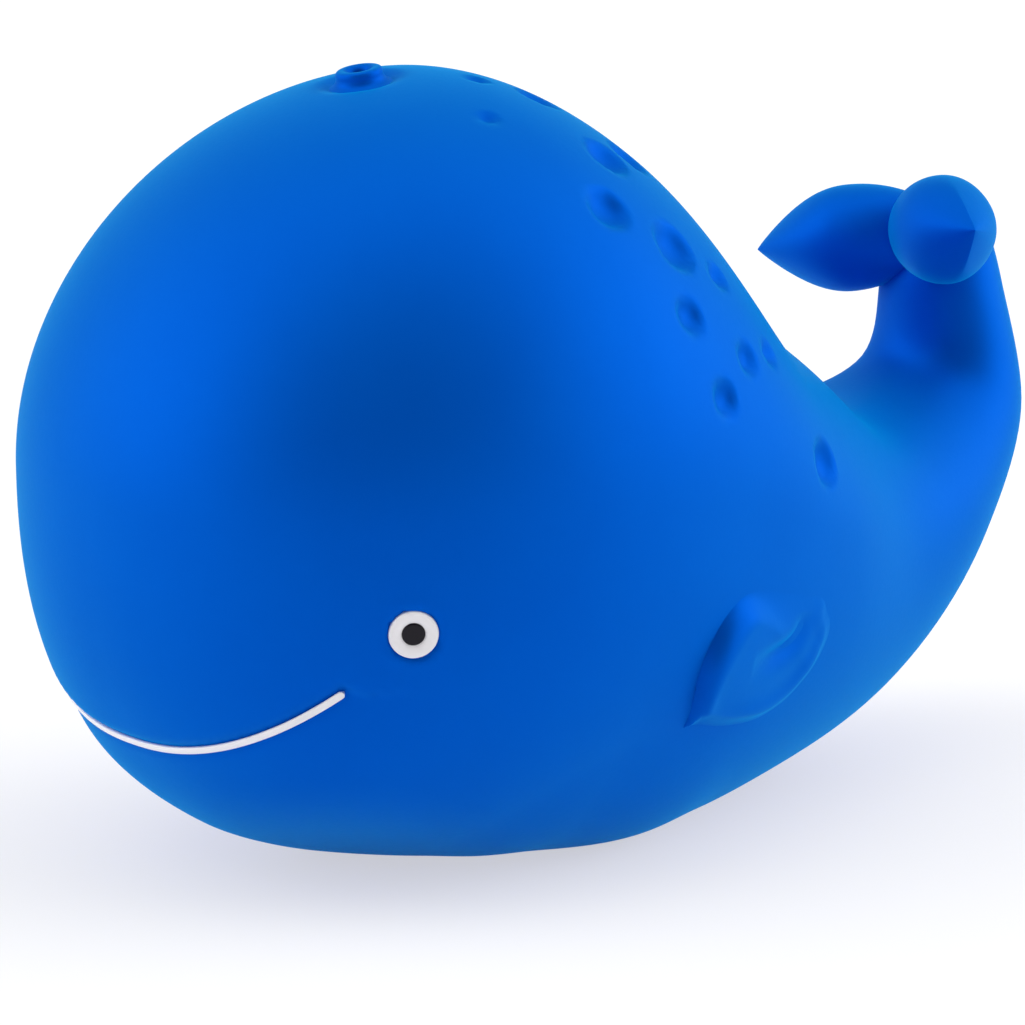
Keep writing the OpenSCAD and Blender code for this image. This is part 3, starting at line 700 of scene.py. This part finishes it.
def ring_piece(name, profile, spot, out):
    """A closed ring: a profile that meets itself, carried round an axis."""
    rings = turned_surface(profile + profile[:1], spot, out)[:-1]
    count, sides = rings.shape[:2]
    ring = np.arange(count * sides).reshape(count, sides)
    turned = np.roll(ring, -1, axis=1)
    corners = [ring, turned, np.roll(turned, -1, axis=0), np.roll(ring, -1, axis=0)]
    quads = np.stack(corners, axis=-1).reshape(-1, 4)
    return new_piece(name, rings.reshape(-1, 3), [quads])


def add_node(tree, kind, links=(), **settings):
    """Adds a node, sets its attributes and inputs, and links its inputs from other nodes' outputs."""
    node = tree.nodes.new(kind)
    for key, value in settings.items():
        if hasattr(node, key):
            setattr(node, key, value)
        else:
            node.inputs[key.replace("_", " ")].default_value = value
    for socket, source in links:
        tree.links.new(source, node.inputs[socket])
    return node


def new_material(name):
    """An empty node material with its output node."""
    material = bpy.data.materials.new(name)
    material.use_nodes = True
    material.node_tree.nodes.clear()
    return material, material.node_tree, add_node(material.node_tree, "ShaderNodeOutputMaterial")


def surface_material(name, first, second, cloud, grain, depth, rough, **shader):
    """A moulded or painted surface: clouds of two near colours, and a fine grain in bump and roughness.
    cloud and grain are the patterns' sizes in metres, depth the grain's height and rough its range."""
    material, tree, output = new_material(name)
    where = add_node(tree, "ShaderNodeTexCoord").outputs["Object"]
    clouds = add_node(tree, "ShaderNodeTexNoise", [("Vector", where)], Scale=1 / cloud, Detail=3.0)
    tint = add_node(tree, "ShaderNodeMix", [(0, clouds.outputs["Fac"])], data_type="RGBA")
    tint.inputs[MIX_FIRST].default_value = (*first, 1)
    tint.inputs[MIX_SECOND].default_value = (*second, 1)
    grains = add_node(tree, "ShaderNodeTexNoise", [("Vector", where)], Scale=1 / grain, Detail=2.0)
    worn = add_node(tree, "ShaderNodeMapRange", [("Value", grains.outputs["Fac"])],
        To_Min=rough[0], To_Max=rough[1])
    bump = add_node(tree, "ShaderNodeBump", [("Height", grains.outputs["Fac"])], Strength=0.5, Distance=depth)
    principled = add_node(tree, "ShaderNodeBsdfPrincipled", [("Base Color", tint.outputs[MIX_RESULT]),
        ("Roughness", worn.outputs[0]), ("Normal", bump.outputs["Normal"])], **shader)
    tree.links.new(principled.outputs[0], output.inputs["Surface"])
    return material


def shades(name, share):
    """A colour of the settings, and the same colour dimmed to a share."""
    first = np.array(getattr(bpy.context.scene.whale_colours, name))
    return first, first * share


def blue_rubber():
    """Natural rubber latex, dyed blue and cast in a plaster mould: faintly clouded, with a powdery tooth, a
    soft gloss that keeps the blue, which the metallic share gives, and a pale bloom where it turns away."""
    colours = bpy.context.scene.whale_colours
    name = "natural_rubber_blue"
    return bpy.data.materials.get(name) or surface_material(name, colours.rubber, colours.rubber_deep,
        cloud=14 * MM, grain=0.5 * MM, depth=0.015 * MM, rough=(0.46, 0.56), Metallic=0.46,
        Specular_IOR_Level=0.03, Specular_Tint=(0.05, 0.5, 1, 1), Sheen_Weight=0.6, Sheen_Roughness=0.5,
        Sheen_Tint=(0, 0.6, 1, 1))


def white_paint():
    """Flexible white paint, brushed into the mould's lines: satin, a little uneven."""
    name = "latex_paint_white"
    return bpy.data.materials.get(name) or surface_material(name, *shades("white_paint", 0.96),
        cloud=1.5 * MM, grain=0.3 * MM, depth=0.01 * MM, rough=(0.36, 0.5), IOR=1.48)


def black_paint():
    """Gloss black enamel in a drop: near black with a sharp highlight."""
    return surface_material("gloss_enamel_black", *shades("black_paint", 0.7), cloud=1 * MM, grain=0.4 * MM,
        depth=0.002 * MM, rough=(0.08, 0.16), Specular_IOR_Level=0.2)


def squeaker_plastic():
    """Injection-moulded polypropylene: waxy off-white with a fine spark-eroded tooth."""
    return surface_material("moulded_polypropylene", *shades("cup_plastic", 0.94), cloud=5 * MM,
        grain=0.25 * MM, depth=0.01 * MM, rough=(0.38, 0.52), IOR=1.49)


def block_plastic():
    """Injection-moulded ABS in pale grey: a little duller than the cup."""
    return surface_material("moulded_abs_grey", *shades("block_plastic", 0.92), cloud=4 * MM, grain=0.25 * MM,
        depth=0.01 * MM, rough=(0.42, 0.58), IOR=1.53)


def reed_film():
    """Stiff polyester film: smooth amber, nearly clear gloss."""
    return surface_material("polyester_film_amber", *shades("reed_film", 0.9), cloud=3 * MM, grain=0.5 * MM,
        depth=0.002 * MM, rough=(0.18, 0.28), IOR=1.6)


def squeeze(piece):
    """Gives a soft piece its own copy of its mesh."""
    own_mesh(piece)


def finish_rubber(piece):
    """Gives a piece of the moulding its rubber, its body and a mesh of its own."""
    piece.data.materials.append(blue_rubber())
    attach(piece, "whale")
    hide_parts("body_skin")
    squeeze(piece)


class WHALE_OT_skin(bpy.types.Operator):
    """Build the moulded body with its dimples, mouth groove and eye dishes"""
    bl_idname = "whale.skin"
    bl_label = "Body skin"

    def execute(self, context):
        sizes = context.scene.whale_sizes
        points = place(skin_surface(sizes), sizes)
        tail = stations(sizes)[-1]
        tilt = math.radians(tail[2])
        end = np.array([0, tail[0] + math.cos(tilt) * tail[4], tail[1] + math.sin(tilt) * tail[4]])
        nose = np.array([0, -sizes.nose_length, stations(sizes)[0][1]])
        finish_rubber(tipped_piece("whale_skin", points, place(nose, sizes), place(end, sizes)))
        return {"FINISHED"}


class WHALE_OT_flippers(bpy.types.Operator):
    """Build the two flippers on the flanks"""
    bl_idname = "whale.flippers"
    bl_label = "Flippers"

    def execute(self, context):
        sizes = context.scene.whale_sizes
        rings = flipper_surface(sizes)
        for name, side in SIDES:
            leaf = place(rings * [side, 1, 1], sizes)
            finish_rubber(tipped_piece(f"{name}_flipper", leaf, leaf[0].mean(axis=0), leaf[-1].mean(axis=0)))
        return {"FINISHED"}


class WHALE_OT_flukes(bpy.types.Operator):
    """Build the two leaves of the tail"""
    bl_idname = "whale.flukes"
    bl_label = "Tail flukes"

    def execute(self, context):
        sizes = context.scene.whale_sizes
        for name, side in SIDES:
            rings, root, tip = [place(points, sizes) for points in fluke_surface(side, sizes)]
            finish_rubber(tipped_piece(f"{name}_fluke", rings, root, tip))
        return {"FINISHED"}


class WHALE_OT_blowhole(bpy.types.Operator):
    """Build the raised nub of the blowhole"""
    bl_idname = "whale.blowhole"
    bl_label = "Blowhole nub"

    def execute(self, context):
        sizes = context.scene.whale_sizes
        spot, out = nub_axis(sizes)
        finish_rubber(turned_piece("blowhole_nub", NUB_PROFILE, place(spot, sizes), out))
        return {"FINISHED"}


class WHALE_OT_seat(bpy.types.Operator):
    """Build the recess in the underside that holds the squeaker"""
    bl_idname = "whale.seat"
    bl_label = "Squeaker seat"

    def execute(self, context):
        sizes = context.scene.whale_sizes
        middle = place(seat_middle(sizes), sizes)
        finish_rubber(ring_piece("squeaker_seat", SEAT_PROFILE, middle, np.array([0, 0, 1.0])))
        return {"FINISHED"}


class WHALE_OT_eyes(bpy.types.Operator):
    """Build the painted whites and pupils"""
    bl_idname = "whale.eyes"
    bl_label = "Eyes"

    def execute(self, context):
        sizes = context.scene.whale_sizes
        spot, out = eye_axis(sizes)
        layers = (
            ("eye_white", EYE_PROFILE, white_paint(), "white_paint"),
            ("pupil", PUPIL_PROFILE, black_paint(), "black_paint"),
        )
        for name, side in SIDES:
            mirror = np.array([side, 1, 1])
            middle = place(spot * mirror, sizes)
            for layer, profile, paint, slot in layers:
                piece = turned_piece(f"painted_{name}_{layer}", profile, middle, out * mirror)
                piece.data.materials.append(paint)
                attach(piece, f"{name}_cheek")
                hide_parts(f"{name}_{layer}")
                squeeze(piece)
        return {"FINISHED"}


class WHALE_OT_mouth(bpy.types.Operator):
    """Build the painted mouth line"""
    bl_idname = "whale.mouth"
    bl_label = "Mouth line"

    def execute(self, context):
        sizes = context.scene.whale_sizes
        rings = place(mouth_surface(sizes), sizes)
        piece = tipped_piece("painted_mouth", rings, rings[0].mean(axis=0), rings[-1].mean(axis=0))
        piece.data.materials.append(white_paint())
        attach(piece, "whale")
        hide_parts("mouth_line")
        squeeze(piece)
        return {"FINISHED"}


class WHALE_OT_squeaker(bpy.types.Operator):
    """Give the squeaker's cup, cap, block, wedge and reed their plastics"""
    bl_idname = "whale.squeaker"
    bl_label = "Squeaker"

    def execute(self, context):
        cup, block = squeaker_plastic(), block_plastic()
        plastics = {"squeaker_cup": cup, "squeaker_cap": cup, "reed_block": block, "reed_wedge": block}
        plastics["reed"] = reed_film()
        for name, plastic in plastics.items():
            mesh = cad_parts[name].data
            mesh.materials.clear()
            mesh.materials.append(plastic)
        return {"FINISHED"}


class WHALE_OT_stage(bpy.types.Operator):
    """Build the floor, the light tent and the camera"""
    bl_idname = "whale.stage"
    bl_label = "Stage"

    def execute(self, context):
        scene = context.scene
        stage = scene.whale_stage
        back = direction(stage.azimuth, stage.elevation)
        build_floor()
        build_tent(scene, direction(stage.gap_azimuth, stage.gap_elevation),
            direction(stage.softbox_azimuth, stage.softbox_elevation))
        target = place(np.array([0, stage.target_y, stage.target_z]), scene.whale_sizes)
        camera = bpy.data.objects.new("camera", bpy.data.cameras.new("camera"))
        camera.data.lens = stage.lens
        camera.data.sensor_width = SENSOR_WIDTH
        camera.data.clip_start = CLIP_START
        camera.location = target + back * stage.distance
        camera.rotation_euler = Vector(-back).to_track_quat("-Z", "Y").to_euler()
        scene.collection.objects.link(camera)
        scene.camera = camera
        scene.view_settings.view_transform = "Standard"
        return {"FINISHED"}


def direction(azimuth, elevation):
    """Unit direction at a turn from straight ahead and an angle above the level."""
    level = math.cos(elevation)
    return np.array([math.sin(azimuth) * level, -math.cos(azimuth) * level, math.sin(elevation)])


def build_floor():
    """A white sweep: a matte floor that also shows itself white to the camera, and keeps the soft shadow."""
    corners = np.array([(-1, -1, 0), (1, -1, 0), (1, 1, 0), (-1, 1, 0)]) * FLOOR_REACH
    mesh = bpy.data.meshes.new("floor")
    mesh.from_pydata(corners.tolist(), [], [(0, 1, 2, 3)])
    floor = bpy.data.objects.new("floor", mesh)
    bpy.context.scene.collection.objects.link(floor)
    material, tree, output = new_material("white_paper")
    rays = add_node(tree, "ShaderNodeLightPath")
    seen = rays.outputs["Is Camera Ray"]
    for kind in ("Is Glossy Ray", "Is Transmission Ray"):
        pair = [(0, seen), (1, rays.outputs[kind])]
        seen = add_node(tree, "ShaderNodeMath", pair, operation="MAXIMUM").outputs[0]
    tone = add_node(tree, "ShaderNodeMix", [(0, seen)], data_type="RGBA")
    tone.inputs[MIX_FIRST].default_value = linear(FLOOR_LIT)
    tone.inputs[MIX_SECOND].default_value = linear(FLOOR_SEEN)
    paper = add_node(tree, "ShaderNodeBsdfDiffuse", [("Color", tone.outputs[MIX_RESULT])])
    glow = add_node(tree, "ShaderNodeEmission", [("Strength", seen)])
    glow.inputs["Color"].default_value = linear(FLOOR_GLOW)
    both = add_node(tree, "ShaderNodeAddShader", [(0, paper.outputs[0]), (1, glow.outputs[0])])
    tree.links.new(both.outputs[0], output.inputs["Surface"])
    mesh.materials.append(material)


def build_tent(scene, gap, softbox_way):
    """A light tent: bright at the sides, dimmer behind and overhead, with a softbox behind the right of the
    picture and a dark gap towards the front that shades the near side. The camera sees it plain white."""
    world = bpy.data.worlds.new("light_tent")
    world.use_nodes = True
    tree = world.node_tree
    tree.nodes.clear()
    way = add_node(tree, "ShaderNodeTexCoord").outputs["Generated"]
    low = add_node(tree, "ShaderNodeVectorMath", [(0, way)], operation="MULTIPLY")
    low.inputs[1].default_value = (1, 1, GAP_FLATTENING)
    low = add_node(tree, "ShaderNodeVectorMath", [(0, low.outputs[0])], operation="NORMALIZE")
    facing = add_node(tree, "ShaderNodeVectorMath", [(0, low.outputs[0])], operation="DOT_PRODUCT")
    facing.inputs[1].default_value = gap
    towards = add_node(tree, "ShaderNodeVectorMath", [(0, way)], operation="DOT_PRODUCT")
    towards.inputs[1].default_value = softbox_way
    faced = facing.outputs["Value"]
    up = add_node(tree, "ShaderNodeSeparateXYZ", [(0, way)]).outputs["Z"]
    ramps = []
    for source, edges, first, last in (
        (faced, GAP_EDGES, TENT_LEVEL, GAP_LEVEL),
        (faced, BEHIND_EDGES, BEHIND_SHARE, 1),
        (towards.outputs["Value"], SOFTBOX_EDGES, 0, SOFTBOX_LEVEL),
        (up, ROOF_EDGES, 1, ROOF_SHARE),
    ):
        ramp = add_node(tree, "ShaderNodeMapRange", [(0, source)], interpolation_type="SMOOTHSTEP",
            From_Min=edges[0], From_Max=edges[1], To_Min=first, To_Max=last)
        ramps.append(ramp.outputs[0])
    level, behind, softbox, roof = ramps
    for other, operation in ((behind, "MULTIPLY"), (softbox, "ADD"), (roof, "MULTIPLY")):
        level = add_node(tree, "ShaderNodeMath", [(0, level), (1, other)], operation=operation).outputs[0]
    rays = add_node(tree, "ShaderNodeLightPath")
    shown = add_node(tree, "ShaderNodeMix", [(0, rays.outputs["Is Camera Ray"]), ("A", level)], B=1.0)
    light = add_node(tree, "ShaderNodeBackground", [("Strength", shown.outputs[0])])
    output = add_node(tree, "ShaderNodeOutputWorld", [("Surface", light.outputs[0])])
    output.is_active_output = True
    scene.world = world


class WHALE_PT_panel(bpy.types.Panel):
    """Lists the whale's operators and sizes"""
    bl_idname = "WHALE_PT_panel"
    bl_label = "Bath whale"
    bl_space_type = "VIEW_3D"
    bl_region_type = "UI"
    bl_category = "Whale"

    def draw(self, context):
        for operator in OPERATORS:
            self.layout.operator(operator.bl_idname)
        for group in ("whale_sizes", "whale_colours", "whale_stage"):
            settings = getattr(context.scene, group)
            for name in settings.bl_rna.properties.keys():
                if name not in ("rna_type", "name"):
                    self.layout.prop(settings, name)


GROUPS = {"whale_sizes": WhaleSizes, "whale_colours": WhaleColours, "whale_stage": WhaleStage}
OPERATORS = (
    WHALE_OT_skin, WHALE_OT_flippers, WHALE_OT_flukes, WHALE_OT_blowhole, WHALE_OT_seat, WHALE_OT_eyes,
    WHALE_OT_mouth, WHALE_OT_squeaker, WHALE_OT_stage,
)
CLASSES = (*GROUPS.values(), *OPERATORS, WHALE_PT_panel)


def register():
    """Adds the classes and the settings to Blender."""
    for cls in CLASSES:
        bpy.utils.register_class(cls)
    for name, group in GROUPS.items():
        setattr(bpy.types.Scene, name, bpy.props.PointerProperty(type=group))


def unregister():
    """Takes the settings and the classes out again."""
    for name in GROUPS:
        delattr(bpy.types.Scene, name)
    for cls in reversed(CLASSES):
        bpy.utils.unregister_class(cls)


def main():
    """Builds every piece and the stage."""
    register()
    bpy.ops.whale.skin()
    bpy.ops.whale.flippers()
    bpy.ops.whale.flukes()
    bpy.ops.whale.blowhole()
    bpy.ops.whale.seat()
    bpy.ops.whale.eyes()
    bpy.ops.whale.mouth()
    bpy.ops.whale.squeaker()
    bpy.ops.whale.stage()
    bpy.context.view_layer.update()


if __name__ == "__main__":
    main()
